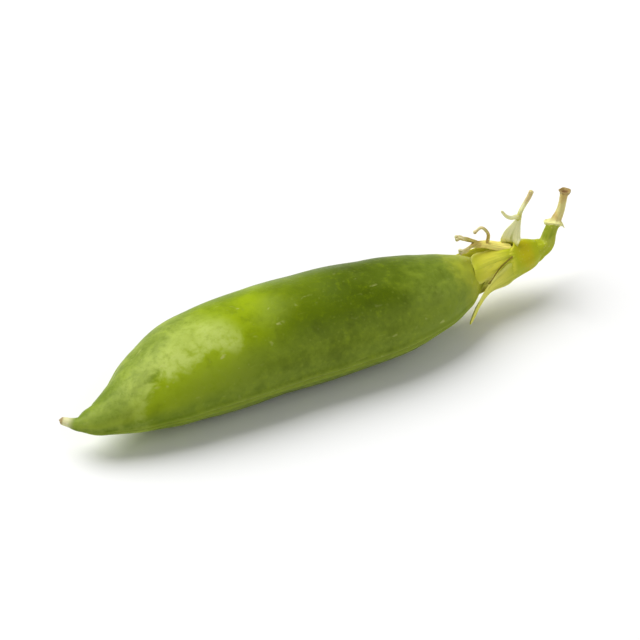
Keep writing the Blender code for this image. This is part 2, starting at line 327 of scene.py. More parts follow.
DEEP_GREEN = (0.066, 0.1, 0.0, 1)
LEAF_GREEN = (0.12, 0.19, 0.0, 1)
SUNNY_GREEN = (0.275, 0.37, 0.0, 1)
# The pale bloom colour, which also paints the highlight on the upper front
BLOOM_AND_HIGHLIGHT_GREEN = (0.44, 0.53, 0.11, 1)
# Grey-green of the painted reflection on the belly side, also used for the line in the belly seam
REFLECTION_AND_SEAM_GREEN = (0.2, 0.27, 0.02, 1)
SEAM_GREEN = (0.33, 0.4, 0.06, 1)
SCUFF_CREAM = (0.55, 0.56, 0.2, 1)
NECK_GREEN = (0.44, 0.46, 0.03, 1)
NUB_CREAM = (0.68, 0.66, 0.36, 1)
NUB_BROWN = (0.3, 0.19, 0.07, 1)
SPECK_BROWN = (0.05, 0.07, 0.005, 1)
SKIN_RELIEF = 0.00005  # in metres


def band(tree, value, start, full, fade, end, strength=1.0):
    """0 up to `start`, `strength` from `full` to `fade`, and 0 again from `end`."""
    rising = ramp(tree, value, start, full, 0.0, strength)
    return maths(tree, "MULTIPLY", rising, ramp(tree, value, fade, end, 1.0, 0.0))


def pod_material():
    """Waxy green skin: yellower at the front, deep green behind, with bloom, ribs, scuffs, specks, a
    painted highlight and a painted reflection.
    """
    settings = {
        "Subsurface Weight": 0.12,
        "Subsurface Radius": (0.8, 1.0, 0.2),
        "Subsurface Scale": 0.0012,
        "Specular IOR Level": 0.1,
    }
    material, tree, shader = new_material("pod skin", settings)
    place = add_node(tree, "TexCoord").outputs["Object"]
    marks = add_node(tree, "Attribute", attribute_name="place").outputs["Vector"]
    split = add_node(tree, "SeparateXYZ", {0: marks}).outputs
    distance, to_back, to_top = split[0], split[1], split[2]
    to_belly = maths(tree, "MULTIPLY", to_back, -1.0)
    skin = fine_skin(tree, place, 1500.0, 3200.0)
    clouds = mottle(tree, place, 120.0, 3.0, 0.55, 0.2)
    blotches = mottle(tree, place, 330.0, 4.0, 0.6, 0.2)
    grain = mottle(tree, place, 1300.0, 4.0, 0.7)

    # Greens, in bands that slant round the pod and wander
    drift = maths(tree, "ADD", mottle(tree, place, 70.0, 1.0), maths(tree, "MULTIPLY", blotches, 0.35))
    wandering = maths(tree, "ADD", distance, ramp(tree, drift, 0.4, 0.95, -4.0, 4.0))
    slanting = maths(tree, "SUBTRACT", wandering, maths(tree, "MULTIPLY", to_back, 7.5))
    slanting = maths(tree, "SUBTRACT", slanting, maths(tree, "MULTIPLY", to_top, 5.0))
    sunny = band(tree, slanting, 3.0, 10.0, 17.0, 33.0)
    sunny = maths(tree, "MULTIPLY", sunny, band(tree, to_back, -1.0, -0.8, 0.1, 1.1))
    sunny = maths(tree, "ADD", sunny, ramp(tree, blotches, 0.45, 0.7, -0.1, 0.3), clamp=True)
    colour = mix(tree, sunny, LEAF_GREEN, SUNNY_GREEN)
    deep = ramp(tree, slanting, 17.0, 33.0, 0.0, 0.8)
    deep = maths(tree, "MULTIPLY", deep, ramp(tree, wandering, 42.0, 55.0, 1.0, 0.0))
    deep = maths(tree, "ADD", deep, ramp(tree, blotches, 0.3, 0.5, 0.25, -0.05), clamp=True)
    colour = mix(tree, deep, colour, DEEP_GREEN)

    # Bloom, thin in most places; laid on thick over the upper side of the front it is a painted highlight
    highlight_edge = maths(tree, "ADD", to_back, ramp(tree, distance, 6.5, 11.5, 0.8, 0.0))
    highlight_edge = maths(tree, "ADD", highlight_edge, ramp(tree, blotches, 0.3, 0.7, -0.2, 0.2))
    bloom_and_highlight = ramp(tree, highlight_edge, -0.42, -0.12, 0.05, 0.9)
    highlight_end = maths(tree, "ADD", distance, maths(tree, "MULTIPLY", to_back, 4.0))
    bloom_and_highlight = maths(tree, "MULTIPLY", bloom_and_highlight, ramp(tree, highlight_end, 19.5, 23.5, 1.0, 0.0))
    bloom_and_highlight = maths(tree, "MULTIPLY", bloom_and_highlight, ramp(tree, distance, 3.0, 13.0, 0.4, 1.0))
    bloom_and_highlight = maths(tree, "MULTIPLY", bloom_and_highlight, ramp(tree, to_back, -0.1, 0.6, 1.0, 0.4))
    bloom_and_highlight = maths(tree, "MULTIPLY", bloom_and_highlight, ramp(tree, blotches, 0.35, 0.65, 0.7, 1.15))
    bloom_and_highlight = maths(tree, "ADD", bloom_and_highlight, ramp(tree, wandering, 42.0, 56.0, 0.0, 0.4))
    bloom_and_highlight = maths(tree, "ADD", bloom_and_highlight, ramp(tree, clouds, 0.5, 0.72, 0.0, 0.1))
    rubbed = ramp(tree, grain, 0.35, 0.65, 0.75, 1.1)
    bloom_and_highlight = maths(tree, "MULTIPLY", bloom_and_highlight, rubbed, clamp=True)
    colour = mix(tree, bloom_and_highlight, colour, BLOOM_AND_HIGHLIGHT_GREEN)
    # Painted reflection: a grey-green haze along the lower, belly side
    painted_reflection = ramp(tree, to_belly, 0.35, 0.9, 0.0, 0.85)
    painted_reflection = maths(tree, "MULTIPLY", painted_reflection, ramp(tree, blotches, 0.3, 0.6, 0.6, 1.0))
    painted_reflection = maths(tree, "MULTIPLY", painted_reflection, ramp(tree, distance, 6.0, 20.0, 0.25, 1.0))
    colour = mix(tree, maths(tree, "MULTIPLY", painted_reflection, rubbed, clamp=True), colour, REFLECTION_AND_SEAM_GREEN)

    # Grain, pores and scratches
    colour = mix(tree, ramp(tree, grain, 0.52, 0.75, 0.0, 0.25), colour, SUNNY_GREEN)
    colour = mix(tree, ramp(tree, grain, 0.25, 0.48, 0.18, 0.0), colour, DEEP_GREEN)
    pale = maths(tree, "MULTIPLY", skin["Pores"], 0.16)
    pale = maths(tree, "ADD", pale, maths(tree, "MULTIPLY", skin["Scratches"], 0.25), clamp=True)
    colour = mix(tree, pale, colour, SEAM_GREEN)

    # Pale ribs, with the darker line between the two ridges of the belly seam
    back_rib = ramp(tree, to_back, 0.99, 0.999, 0.0, 0.4)
    belly_rib = ramp(tree, to_belly, 0.988, 0.997, 0.0, 0.3)
    colour = mix(tree, maths(tree, "ADD", back_rib, belly_rib, clamp=True), colour, SEAM_GREEN)
    colour = mix(tree, ramp(tree, to_belly, 0.9982, 0.9999, 0.0, 0.3), colour, REFLECTION_AND_SEAM_GREEN)

    # Scuffs
    scuffs = mottle(tree, scaled(tree, place, (0.6, 1.0, 1.0)), 1150.0, 2.0, 0.5, 0.2)
    scuffs = ramp(tree, scuffs, 0.66, 0.78)
    scuffs = maths(tree, "MULTIPLY", scuffs, ramp(tree, clouds, 0.46, 0.58, 0.1, 0.5))
    colour = mix(tree, scuffs, colour, SCUFF_CREAM)

    # Neck, nub of the style, and dark specks near the beak
    neck = maths(tree, "ADD", distance, ramp(tree, blotches, 0.3, 0.7, -1.5, 1.5))
    colour = mix(tree, ramp(tree, neck, 49.5, 57.0, 0.0, 0.95), colour, NECK_GREEN)
    colour = mix(tree, ramp(tree, distance, 0.7, 1.6, 1.0, 0.0), colour, NUB_CREAM)
    nub_end = maths(tree, "ADD", distance, ramp(tree, blotches, 0.35, 0.65, -0.2, 0.2))
    colour = mix(tree, ramp(tree, nub_end, 0.1, 0.35, 0.85, 0.0), colour, NUB_BROWN)
    cells = add_node(tree, "TexVoronoi", {"Vector": place, "Scale": 520.0, "Randomness": 1.0})
    specks = ramp(tree, cells.outputs["Distance"], 0.06, 0.14, 0.6, 0.0)
    specks = maths(tree, "MULTIPLY", specks, ramp(tree, clouds, 0.5, 0.62, 0.05, 1.0))
    specks = maths(tree, "MULTIPLY", specks, ramp(tree, distance, 8.0, 22.0, 1.0, 0.1))
    colour = mix(tree, specks, colour, SPECK_BROWN)

    roughness = maths(tree, "ADD", maths(tree, "MULTIPLY", bloom_and_highlight, 0.12), 0.4)
    roughness = maths(tree, "ADD", roughness, maths(tree, "MULTIPLY", scuffs, 0.2))
    roughness = maths(tree, "ADD", roughness, ramp(tree, skin["Grain"], 0.35, 0.65, -0.03, 0.06))
    height = maths(tree, "ADD", skin["Height"], maths(tree, "MULTIPLY", grain, 0.5))
    height = maths(tree, "ADD", height, maths(tree, "MULTIPLY", blotches, 0.8))
    height = maths(tree, "ADD", height, maths(tree, "MULTIPLY", scuffs, 0.4))
    finish_material(tree, shader, colour, roughness, height, SKIN_RELIEF)
    return material


pod = add_object("pod_skin", mapped_ball(POD_SIDES, POD_RINGS, pod_skin), pod_material())
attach(pod, "root")
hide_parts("pod")

# Calyx. The cup that held the flower, fleshy at its foot, with five thin sepals grown out of its rim. One
# stands up and has a forked withered tip, the others lie along the pod or hang off it. All of it is one
# growth, so the cup and the blades are run together into one skin.
CUP_SIDES = 120
CUP_RINGS = 98
# Distance and radius of the cup, from its foot over the rim to its floor
CUP_PROFILE = (
    (64.65, 0.0),
    (64.65, 0.75),
    (64.55, 1.15),
    (64.1, 1.6),
    (63.2, 1.95),
    (61.8, 2.2),
    (60.4, 2.48),
    (59.2, 2.75),
    (58.4, 2.92),
    (58.15, 2.82),
    (58.5, 2.6),
    (59.8, 2.3),
    (61.2, 1.8),
    (62.1, 1.3),
    (62.3, 0.0),
)
RIM_START = 61.5
RIM_LENGTH = 3.2
RIM_CUT = 1.5  # how far the rim is drawn back between the blades
RIM_CUT_UNEVEN = 0.25
MOUTH_CUT = 1.6  # and how much further where the withered strap comes out
MOUTH_DEGREES = 76
MOUTH_SPREAD = 26
RIM_NARROWING = 0.21
CUP_RIBS = 5
CUP_RIB_RELIEF = 0.05
CUP_RIB_TURN = math.radians(8)
# Degrees, turn, slant of the tip, cupping, where the tip starts to round off, twist and paleness
SEPALS = {
    "back": (345, 0, 0.0, 0.35, 0.75, 0, 0.2),
    "upright": (70, 0, 0.0, 0.3, 0.92, 60, 1.0),
    "broad": (115, 4, 0.4, 0.42, 0.75, 0, 0.0),
    "hanging": (178, 22, 0.0, 0.4, 0.9, 0, 0.2),
    "under": (262, 0, 0.0, 0.35, 0.75, 0, 0.3),
}
# Distance, radius and half width
SPINES = {
    "back": (
        (60.9, 2.27, 1.3),
        (59.2, 2.7, 1.55),
        (57.4, 3.0, 1.35),
        (56.2, 3.4, 0.9),
        (55.2, 4.0, 0.4),
    ),
    "upright": (
        (61.9, 1.8, 0.4),
        (61.3, 2.4, 1.25),
        (61.3, 3.2, 1.2),
        (61.95, 4.4, 0.66),
        (62.6, 5.45, 0.24),
    ),
    "broad": (
        (60.9, 2.26, 1.3),
        (59.0, 2.62, 1.5),
        (57.4, 2.65, 1.7),
        (56.0, 2.6, 1.9),
        (54.7, 2.85, 2.1),
    ),
    "hanging": (
        (61.2, 2.22, 1.5),
        (59.2, 2.78, 2.1),
        (56.9, 3.05, 1.35),
        (54.6, 4.15, 0.8),
        (52.3, 5.8, 0.36),
    ),
    "under": (
        (60.9, 2.27, 1.4),
        (59.2, 2.7, 1.65),
        (56.2, 3.05, 1.4),
        (54.2, 3.65, 0.95),
        (52.4, 4.2, 0.45),
    ),
}
TWIST_END = 0.45
SEPAL_THICKNESS = 0.34
SEPAL_THINNING = 0.35
SEPAL_ROWS = 72
SEPAL_SIDES = 56
EDGE_RAGGEDNESS = 0.08
EDGE_CURL = 0.16
BLADE_SQUARENESS = 0.6  # below 1 a blade's edges are blunt
# The two prongs of the forked tip: half widths, and places in distance, radius and degrees
PALE_PRONG = (0.3, 0.3, 0.26, 0.18)
PALE_PRONG_LINE = (
    (62.5, 5.1, 69),
    (62.1, 5.7, 71),
    (61.2, 6.1, 75),
    (60.3, 6.9, 78),
    (59.4, 8.3, 80),
)
TAN_PRONG = (0.3, 0.3, 0.31, 0.33)
TAN_PRONG_LINE = (
    (62.5, 5.1, 69),
    (62.75, 5.9, 68),
    (63.45, 6.7, 67),
    (64.1, 7.6, 68),
    (64.5, 8.5, 69),
)
PALE_TONE = 1.4
TAN_TONE = 1.8
BLADE_TONE_LIMIT = 1.2  # the blades' tones lie under this, and the prongs' above it
MIDRIB = (0.07, 0.12)  # height, and spread in half widths
SIDE_NERVES = (0.03, 0.1)
SIDE_NERVE_PLACE = 0.5
CALYX_VOXEL = 0.08
CALYX_SMOOTHING = 5


def smooth_rows(rows, count):
    """`count` rows evenly spread along a table, on a smooth curve through its own rows."""
    table = np.array(rows, float)
    padded = np.vstack([2 * table[0] - table[1], table, 2 * table[-1] - table[-2]])
    found = []
    for place in np.linspace(0, len(table) - 1, count):
        row = min(int(place), len(table) - 2)
        f = place - row
        a, b, c, d = padded[row : row + 4]
        curve = (2 * a - 5 * b + 4 * c - d) * f**2 + (3 * b - a - 3 * c + d) * f**3
        found.append((2 * b + (c - a) * f + curve) / 2)
    return np.array(found)


def round_the_pod(distance, radius, degrees):
    """A point at this distance from the beak, and this radius and angle about the pod's middle line."""
    turn = math.radians(degrees) + LEAN
    side, height = pod_at(float(distance))[:2]
    return Vector((distance, side + radius * math.cos(turn), height + radius * math.sin(turn)))


def sideways(degrees):
    """The direction round the pod at this angle."""
    turn = math.radians(degrees) + LEAN
    return Vector((0, -math.sin(turn), math.cos(turn)))


def strip(
    rows,
    half_widths,
    half_depths,
    sides,
    bow=0.0,
    squareness=1.0,
    lift=None,
    slant=0.0,
    twist=0.0,
    tone=0.0,
):
    """A closed blade or thread along rows of distance, radius and degrees, with its width round the pod.

    Its marks are the share of its length, the place across it, and 1 and its tone, negative on the inside.
    """
    points = [round_the_pod(*row) for row in rows]
    last = len(points) - 1

    def place(ring, angle):
        share = ring / last
        c, s = math.cos(angle), math.sin(angle)
        if ring in (0, last):
            return points[ring], (share, 0, 1 + tone)
        along = (points[ring + 1] - points[ring - 1]).normalized()
        side = sideways(rows[ring][2])
        side = (side - along * side.dot(along)).normalized()
        turned = math.radians(twist) * min(1.0, share / TWIST_END)
        side = side * math.cos(turned) + along.cross(side) * math.sin(turned)
        out = along.cross(side)
        across = math.copysign(abs(c) ** squareness, c)
        deep = math.copysign(abs(s) ** squareness, s) * half_depths[ring]
        deep -= bow * half_widths[ring] * across * across
        if lift:
            deep += lift(share, across)
        wide = (side + along * slant * share) * across * half_widths[ring]
        return points[ring] + wide + out * deep, (share, across, math.copysign(1 + tone, s))

    return mapped_ball(sides, last, place)


def pointed(shares, start):
    """1 up to `start`, then rounding off to 0 at the end."""
    return np.sqrt(np.clip(1 - np.clip((shares - start) / (1 - start), 0, 1) ** 2, 0, 1))


def sepal_blade(name):
    """One of the five sepals, from inside the cup's wall to its tip."""
    degrees, turn, slant, cupping, rounding, twist, tone = SEPALS[name]
    shares = np.linspace(0, 1, SEPAL_ROWS)
    spine = smooth_rows(SPINES[name], SEPAL_ROWS)
    rows = np.column_stack([spine[:, :2], degrees + turn * shares])
    seed = 3.7 * degrees
    ragged = [1 + EDGE_RAGGEDNESS * noise.noise(Vector((5 * share, seed, 0))) for share in shares]
    half_widths = spine[:, 2] * pointed(shares, rounding) * np.array(ragged)
    half_depths = SEPAL_THICKNESS / 2 * (1 - SEPAL_THINNING * shares) * pointed(shares, 0.9)
    half_depths *= np.clip(5 * shares, 0.3, 1)

    def lift(share, across):
        return EDGE_CURL * share * noise.noise(Vector((3.2 * share, 1.3 * across, seed + 20)))

    return strip(
        rows, half_widths, half_depths, SEPAL_SIDES, cupping, BLADE_SQUARENESS, lift, slant, twist, tone
    )


def cup_wall():
    """The cup, with its rim drawn back between the blades. Its first mark runs from 0 to -1 at the rim."""
    rows = smooth_rows(CUP_PROFILE, CUP_RINGS + 1)
    rows[:, 1] = np.clip(rows[:, 1], 0, None)

    def place(ring, angle):
        distance, radius = rows[ring]
        degrees = math.degrees(angle) % 360
        near_rim = max(0.0, min(1.0, (RIM_START - distance) / RIM_LENGTH))
        uneven = noise.noise(Vector((2.5 * math.cos(angle), 2.5 * math.sin(angle), 4)))
        cut = RIM_CUT + RIM_CUT_UNEVEN * uneven
        cut += MOUTH_CUT * bump(degrees - MOUTH_DEGREES, MOUTH_SPREAD)
        distance += near_rim * cut
        radius -= RIM_NARROWING * near_rim * cut
        rib = CUP_RIB_RELIEF * math.cos(CUP_RIBS * (angle - CUP_RIB_TURN))
        return round_the_pod(distance, radius * (1 + rib * min(1.0, radius)), degrees), (-near_rim, 0, 1)

    return mapped_ball(CUP_SIDES, CUP_RINGS, place)


def prong(line, half_widths, tone):
    """One prong of the forked tip, round and withered."""
    rows = smooth_rows(line, 40)
    sizes = np.interp(np.linspace(0, 1, 40), np.linspace(0, 1, len(half_widths)), half_widths)
    return strip(rows, sizes, sizes, 12, tone=tone)


def join_shapes(shapes):
    """One shape out of several, each still closed in itself."""
    joined = bmesh.new()
    joined.verts.layers.float_vector.new("place")
    for shape in shapes:
        mesh = bpy.data.meshes.new("shape")
        shape.to_mesh(mesh)
        shape.free()
        joined.from_mesh(mesh)
        bpy.data.meshes.remove(mesh)
    return joined


def run_together(name, shapes, voxel, material, smoothing):
    """One closed skin round overlapping shapes. Each point takes the marks of the nearest shape's point."""
    joined = join_shapes(shapes)
    layer = joined.verts.layers.float_vector["place"]
    nearest = kdtree.KDTree(len(joined.verts))
    marks = []
    for number, vert in enumerate(joined.verts):
        nearest.insert(vert.co, number)
        marks.append(vert[layer].copy())
    nearest.balance()
    source = add_object(name, joined, material)
    remesh = source.modifiers.new("skin", "REMESH")
    remesh.mode = "VOXEL"
    remesh.voxel_size = voxel * MM
    graph = bpy.context.evaluated_depsgraph_get()
    mesh = bpy.data.meshes.new_from_object(source.evaluated_get(graph))
    bpy.data.objects.remove(source, do_unlink=True)
    shape = bmesh.new()
    shape.from_mesh(mesh)
    bpy.data.meshes.remove(mesh)
    axes = {"use_axis_x": True, "use_axis_y": True, "use_axis_z": True}
    for _ in range(smoothing):
        bmesh.ops.smooth_vert(shape, verts=shape.verts, factor=0.5, **axes)
    layers = shape.verts.layers.float_vector
    layer = layers.get("place") or layers.new("place")
    for vert in shape.verts:
        vert[layer] = marks[nearest.find(vert.co)[1]]
    return shape


def raise_veins(shape):
    """The midrib and two side nerves of each blade stand proud of its outer face. The prongs have none."""
    layer = shape.verts.layers.float_vector["place"]
    shape.normal_update()
    raised = []
    for vert in shape.verts:
        share, across, side = vert[layer]
        if share > 0 and 0 < side <= 1 + BLADE_TONE_LIMIT:
            ridge = MIDRIB[0] * bump(across, MIDRIB[1])
            ridge += SIDE_NERVES[0] * bump(abs(across) - SIDE_NERVE_PLACE, SIDE_NERVES[1])
            raised.append((vert, vert.normal * ridge * min(1.0, 4 * share) * (1 - share) * MM))
    for vert, move in raised:
        vert.co += move
    return shape


CUP_GREEN = (0.43, 0.48, 0.008, 1)
CUP_OCHRE = (0.5, 0.46, 0.002, 1)
SEPAL_YELLOW = (0.76, 0.73, 0.07, 1)
SEPAL_PALE = (0.86, 0.85, 0.5, 1)
SEPAL_VEIN = (0.34, 0.38, 0.03, 1)
WITHERED_TAN = (0.6, 0.46, 0.2, 1)


def calyx_material():
    """Yellow-green cup with an ochre patch, paler blades with darker nerves, and a withered forked tip."""
    settings = {
        "Subsurface Weight": 0.2,
        "Subsurface Radius": (1.0, 0.9, 0.25),
        "Subsurface Scale": 0.0008,
        "Specular IOR Level": 0.18,
    }
    material, tree, shader = new_material("calyx skin", settings)
    place = add_node(tree, "TexCoord").outputs["Object"]
    marks = add_node(tree, "Attribute", attribute_name="place").outputs["Vector"]
    share, across, side = add_node(tree, "SeparateXYZ", {0: marks}).outputs
    paleness = maths(tree, "SUBTRACT", maths(tree, "ABSOLUTE", side), 1.0)
    skin = fine_skin(tree, place, 2600.0, 4200.0)
    tone = mottle(tree, place, 420.0, 3.0, 0.6)
    length = add_node(tree, "SeparateXYZ", {0: place}).outputs["X"]
    ochre = band(tree, length, 0.0255, 0.0275, 0.028, 0.0292)
    ochre = maths(tree, "MULTIPLY", ochre, ramp(tree, tone, 0.3, 0.6))
    colour = mix(tree, ochre, CUP_GREEN, CUP_OCHRE)
    blade = mix(tree, ramp(tree, paleness, 0.0, 1.0), SEPAL_YELLOW, SEPAL_PALE)
    colour = mix(tree, ramp(tree, share, -1.0, -0.4, 0.7, 0.0), colour, SEPAL_YELLOW)
    colour = mix(tree, ramp(tree, share, 0.0, 0.45, 0.0, 0.95), colour, blade)
    green_tip = ramp(tree, paleness, 0.02, 0.15, 1.0, 0.0)
    green_tip = maths(tree, "MULTIPLY", green_tip, ramp(tree, share, 0.55, 1.0, 0.0, 0.7))
    colour = mix(tree, green_tip, colour, CUP_GREEN)
    from_rib = maths(tree, "ABSOLUTE", across)
    colour = mix(tree, ramp(tree, from_rib, 0.75, 0.98, 0.0, 0.15), colour, SEPAL_PALE)
    nerve = ramp(tree, from_rib, 0.03, 0.12, 0.4, 0.0)
    nerve = maths(tree, "MULTIPLY", nerve, ramp(tree, share, 0.0, 0.1))
    lines = mottle(tree, scaled(tree, marks, (2.0, 9.0, 0.2)), 1.0, 2.0, 0.6)
    nerve = maths(tree, "ADD", nerve, ramp(tree, lines, 0.5, 0.66, 0.0, 0.3), clamp=True)
    nerve = maths(tree, "MULTIPLY", nerve, ramp(tree, share, 0.4, 0.9, 1.0, 0.2))
    colour = mix(tree, nerve, colour, SEPAL_VEIN)
    dry = maths(tree, "ADD", share, maths(tree, "MULTIPLY", maths(tree, "SUBTRACT", tone, 0.5), 0.6))
    dry = maths(tree, "ADD", dry, ramp(tree, paleness, 1.5, 1.7, 0.0, 0.45))
    dry = ramp(tree, dry, 0.88, 1.1, 0.0, 0.8)
    dry = maths(tree, "MULTIPLY", dry, ramp(tree, paleness, 0.0, 0.3, 0.1, 1.0))
    colour = mix(tree, dry, colour, WITHERED_TAN)
    colour = mix(tree, maths(tree, "MULTIPLY", skin["Pores"], 0.1), colour, SEPAL_PALE)
    roughness = ramp(tree, skin["Grain"], 0.3, 0.7, 0.45, 0.6)
    height = maths(tree, "ADD", skin["Height"], maths(tree, "MULTIPLY", lines, 0.8))
    finish_material(tree, shader, colour, roughness, height, SKIN_RELIEF)
    return material


calyx_skin = calyx_material()
calyx_shapes = [cup_wall(), *map(sepal_blade, SEPALS)]
calyx_shapes.append(prong(PALE_PRONG_LINE, PALE_PRONG, PALE_TONE))
calyx_shapes.append(prong(TAN_PRONG_LINE, TAN_PRONG, TAN_TONE))
calyx_shape = run_together("calyx", calyx_shapes, CALYX_VOXEL, calyx_skin, CALYX_SMOOTHING)
calyx = add_object("calyx_skin", raise_veins(calyx_shape), calyx_skin)
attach(calyx, "root")
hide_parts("calyx")

# Stamens. A papery strap of grown-together filaments, left from the flower, comes out of the mouth of the
# calyx and splits into dry curled hairs with shrunken heads. It is matt, yellow at its root and tan at its
# ends. One loose hair has fallen into the crease between two sepals and turned olive.
STRAP_ROWS = 90
STRAP_SIDES = 72
# Places in distance, radius and degrees
STRAP = (
    (61.0, 1.9, 71),
    (59.9, 2.35, 71),
    (58.9, 2.85, 71),
    (57.8, 3.35, 71),
    (56.7, 3.75, 72),
    (55.7, 4.0, 73),
)
STRAP_HALF_WIDTH = 1.05
STRAP_TAPER = ((0, 0.1, 0.45, 0.8, 1), (0.8, 1, 0.9, 0.5, 0.3))
STRAP_HALF_DEPTH = 0.22
STRAP_BOW = 0.25
STRAP_PLEATS = 0.05
STRAP_CURL = 0.12
FILAMENTS = (
    ((56.8, 3.8, 70), (55.6, 4.6, 68), (54.7, 5.2, 67), (53.8, 5.4, 66)),
    ((56.6, 3.8, 74), (55.4, 4.1, 77), (54.4, 4.1, 79), (53.5, 4.3, 80)),
    ((57.8, 3.3, 73), (58.1, 4.6, 72), (57.3, 5.7, 72), (56.2, 5.5, 70)),
)
HAIR_FILAMENTS = (0, 1, 0, 1, 2, 0, 1, 1)  # the filament that each hair belongs to
FALLEN_HAIR = (
    (60.3, 2.5, 120),
    (59.3, 2.78, 127),
    (58.1, 2.95, 136),
    (57.0, 3.05, 149),
    (56.0, 3.1, 161),
)
FALLEN_HAIR_NUMBER = 9
HAIR_ROWS = 70
HAIR_SIDES = 12
HAIR_RADIUS = 0.23
HAIR_TAPER = 0.06
HAIR_WANDER = 0.5
HAIR_WANDER_DEGREES = 6.0
HEAD_SWELL = 0.08
HEAD_PLACE = 0.94
HEAD_LENGTH = 0.04
LOOSE_TONE = 0.5
FALLEN_TONE = 1.0


def stamen_strap():
    """The flat strap, pleated along its length and curling more towards its end."""
    rows = smooth_rows(STRAP, STRAP_ROWS)
    shares = np.linspace(0, 1, STRAP_ROWS)
    half_widths = STRAP_HALF_WIDTH * np.interp(shares, *STRAP_TAPER)
    half_depths = STRAP_HALF_DEPTH * pointed(shares, 0.9)

    def lift(share, across):
        curl = STRAP_CURL * share * noise.noise(Vector((5 * share, 2 * across, 60)))
        return STRAP_PLEATS * math.cos(9 * across) + curl

    return strip(rows, half_widths, half_depths, STRAP_SIDES, STRAP_BOW, BLADE_SQUARENESS, lift)


def dry_hair(line, number, thickness=1.0, tone=LOOSE_TONE):
    """One of the loose hairs along a line: it wanders a little, and ends in a shrunken head."""
    seed = 11.3 * number
    rows = smooth_rows(line, HAIR_ROWS)
    shares = np.linspace(0, 1, HAIR_ROWS)
    for row, share in zip(rows, shares):
        row[1] += HAIR_WANDER * share * noise.noise(Vector((2.5 * share, seed, 0)))
        row[2] += HAIR_WANDER_DEGREES * share * noise.noise(Vector((2.5 * share, seed, 50)))
    radii = (HAIR_RADIUS - HAIR_TAPER * shares) * thickness
    radii += HEAD_SWELL * np.exp(-(((shares - HEAD_PLACE) / HEAD_LENGTH) ** 2))
    radii *= pointed(shares, 0.97)
    return strip(rows, radii, radii, HAIR_SIDES, tone=tone)


PAPER_YELLOW = (0.9, 0.8, 0.2, 1)
PAPER_TAN = (0.56, 0.42, 0.1, 1)
PAPER_PALE = (0.88, 0.8, 0.42, 1)
DRY_BROWN = (0.2, 0.12, 0.015, 1)
FALLEN_OLIVE = (0.2, 0.17, 0.004, 1)
STAMEN_RELIEF = 0.00006  # in metres


def stamen_material():
    """Dry papery threads with brown fibres."""
    settings = {
        "Subsurface Weight": 0.1,
        "Subsurface Scale": 0.0005,
        "Specular IOR Level": 0.15,
    }
    material, tree, shader = new_material("withered stamens", settings)
    place = add_node(tree, "TexCoord").outputs["Object"]
    marks = add_node(tree, "Attribute", attribute_name="place").outputs["Vector"]
    share, _, side = add_node(tree, "SeparateXYZ", {0: marks}).outputs
    skin = fine_skin(tree, place, 3000.0, 5200.0)
    tone = mottle(tree, place, 900.0, 3.0, 0.6)
    wavering = maths(tree, "ADD", share, ramp(tree, tone, 0.3, 0.7, -0.15, 0.15))
    loose = maths(tree, "ABSOLUTE", side)
    strap = mix(tree, ramp(tree, wavering, 0.6, 1.0), PAPER_YELLOW, PAPER_TAN)
    hair = mix(tree, ramp(tree, wavering, 0.35, 0.85), PAPER_TAN, PAPER_PALE)
    colour = mix(tree, ramp(tree, loose, 1.1, 1.4), strap, hair)
    fibres = mottle(tree, scaled(tree, marks, (1.5, 14.0, 2.0)), 1.0, 2.0)
    colour = mix(tree, ramp(tree, fibres, 0.5, 0.72, 0.0, 0.45), colour, DRY_BROWN)
    fallen = maths(tree, "MULTIPLY", ramp(tree, loose, 1.6, 1.9), ramp(tree, share, 0.0, 0.5, 0.75, 0.97))
    colour = mix(tree, fallen, colour, FALLEN_OLIVE)
    roughness = ramp(tree, skin["Grain"], 0.3, 0.7, 0.65, 0.85)
    height = maths(tree, "ADD", fibres, skin["Height"])
    finish_material(tree, shader, colour, roughness, height, STAMEN_RELIEF)
    return material


stamen_shapes = [stamen_strap()]
for number, filament in enumerate(HAIR_FILAMENTS):
    stamen_shapes.append(dry_hair(FILAMENTS[filament], number))
stamen_shapes.append(dry_hair(FALLEN_HAIR, FALLEN_HAIR_NUMBER, thickness=0.5, tone=FALLEN_TONE))
stamens = add_object("stamen_strap", join_shapes(stamen_shapes), stamen_material())
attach(stamens, "root")
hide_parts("stamens")

# Stalk. The short green pedicel grows out of the foot of the calyx and hooks upwards. It has five low ribs
# and ends in a pale collar with two drooping points. A thin dry stub stands on the collar, and its flared
# cut end has a sunken brown middle.
STALK_SIDES = 90
STALK_RINGS = 260
CUT_ROWS = 12
STALK_FOOT = 61.6
# Distance, sideways place, height over the foot and radius
STALK_STATIONS = (
    (63.4, 0.0, 0.0, 1.45),
    (64.2, 0.0, 0.04, 1.45),
    (64.9, 0.0, 0.16, 1.22),
    (65.35, 0.0, 0.24, 1.08),
    (65.75, 0.03, 0.42, 1.0),
    (66.05, 0.08, 0.72, 0.93),
    (66.27, 0.15, 1.15, 0.87),
    (66.45, 0.22, 1.65, 0.82),
    (66.68, 0.3, 2.15, 0.78),
    (66.95, 0.38, 2.65, 0.77),
    (67.16, 0.44, 2.98, 0.9),
    (67.26, 0.46, 3.1, 1.06),
    (67.36, 0.47, 3.2, 0.9),
    (67.54, 0.5, 3.44, 0.68),
    (67.85, 0.55, 3.85, 0.55),
    (68.22, 0.65, 4.55, 0.48),
    (68.5, 0.75, 5.5, 0.46),
    (68.72, 0.85, 6.4, 0.5),
    (68.83, 0.88, 6.8, 0.66),
    (68.86, 0.9, 6.98, 0.76),
)
COLLAR_HEIGHT = 3.1
COLLAR_DEPTH = 0.2
COLLAR_POINTS = 0.5
COLLAR_TURN = math.radians(62)
COLLAR_DROOP = 0.5
COLLAR_DROOP_DEPTH = 0.3
COLLAR_TILT = 0.55
CUT_LIP = 0.07
CUT_HOLLOW = 0.3
STALK_RIBS = 5
RIB_RELIEF = 0.06
RIB_TURN = 1.5
STALK_UNEVEN = 0.05

stalk_rows = smooth_rows(STALK_STATIONS, STALK_RINGS - CUT_ROWS)


